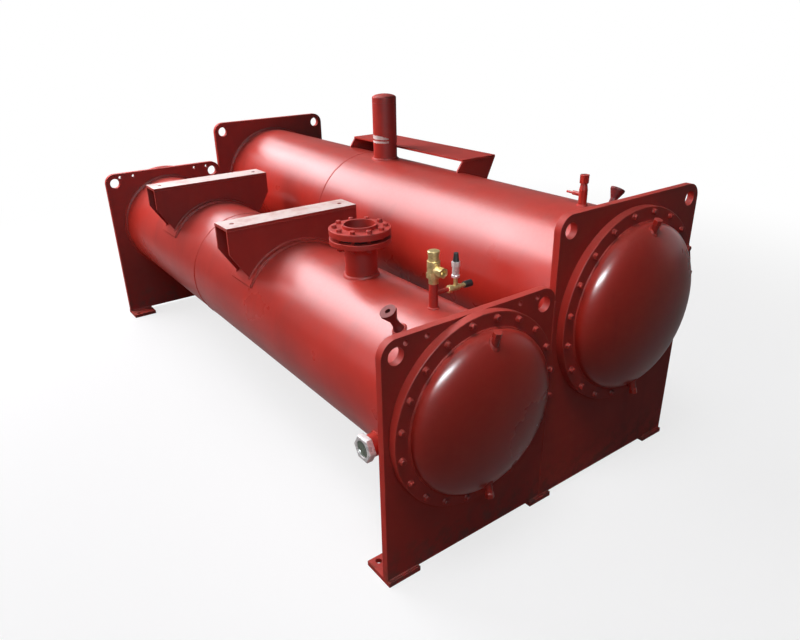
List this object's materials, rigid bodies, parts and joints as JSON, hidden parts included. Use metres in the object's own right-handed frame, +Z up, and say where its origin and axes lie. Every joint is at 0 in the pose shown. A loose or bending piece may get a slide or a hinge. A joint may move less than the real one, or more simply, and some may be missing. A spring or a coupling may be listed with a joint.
{
  "type": "twin-shell condenser and evaporator set",
  "caption": "Horizontal shell-and-tube condenser joined by end plates to a larger evaporator, with dished water heads, compressor saddles and valves.",
  "frame": {"origin": "on the floor, in the middle of the four anchor holes", "axes": "+X along the shells towards the return heads, +Y from the condenser to the evaporator, +Z up"},
  "size_m": [3.58, 1.623, 1.488],
  "materials": {
    "red_paint": "satin red-oxide paint",
    "pad_face": "pale machined pad with a thin pinkish coat",
    "gasket": "dark sheet gasket",
    "brass": "dull cast brass",
    "steel": "plated steel",
    "black_cap": "black plastic cap",
    "sight_glass": "greenish sight glass"
  },
  "bodies": {
    "root": {"condenser_shell": "red_paint", "evaporator_shell": "red_paint", "condenser_front_plate": "red_paint", "condenser_rear_plate": "red_paint", "evaporator_front_plate": "red_paint", "evaporator_rear_plate": "red_paint", "front_feet": "red_paint", "rear_feet": "red_paint", "condenser_front_head_flange": "red_paint", "condenser_rear_head_flange": "red_paint", "evaporator_front_head_flange": "red_paint", "evaporator_rear_head_flange": "red_paint", "condenser_front_dish": "red_paint", "evaporator_front_dish": "red_paint", "condenser_rear_dish": "red_paint", "evaporator_rear_dish": "red_paint", "front_head_vents": "red_paint", "rear_head_vents": "red_paint", "condenser_water_nozzles": "red_paint", "evaporator_water_nozzles": "red_paint", "front_saddle_pad": "red_paint", "front_saddle_webs": "red_paint", "rear_saddle_pad": "red_paint", "rear_saddle_webs": "red_paint", "discharge_pipe": "red_paint", "discharge_flange": "red_paint", "companion_flange": "red_paint", "relief_stub": "red_paint", "condenser_socket": "red_paint", "evaporator_socket": "red_paint", "evaporator_stub": "red_paint", "sight_glass_stub": "red_paint", "suction_pipe": "red_paint", "suction_cap": "red_paint", "bracket_top": "red_paint", "bracket_ends": "red_paint", "front_saddle_top": "pad_face", "rear_saddle_top": "pad_face", "front_head_gaskets": "gasket", "rear_head_gaskets": "gasket", "discharge_gasket": "gasket", "relief_valve": "brass", "service_valve_body": "brass", "service_valve_bonnet": "steel", "sight_glass_ring": "steel", "service_valve_caps": "black_cap", "sight_glass_lens": "sight_glass"}
  },
  "joints": []
}
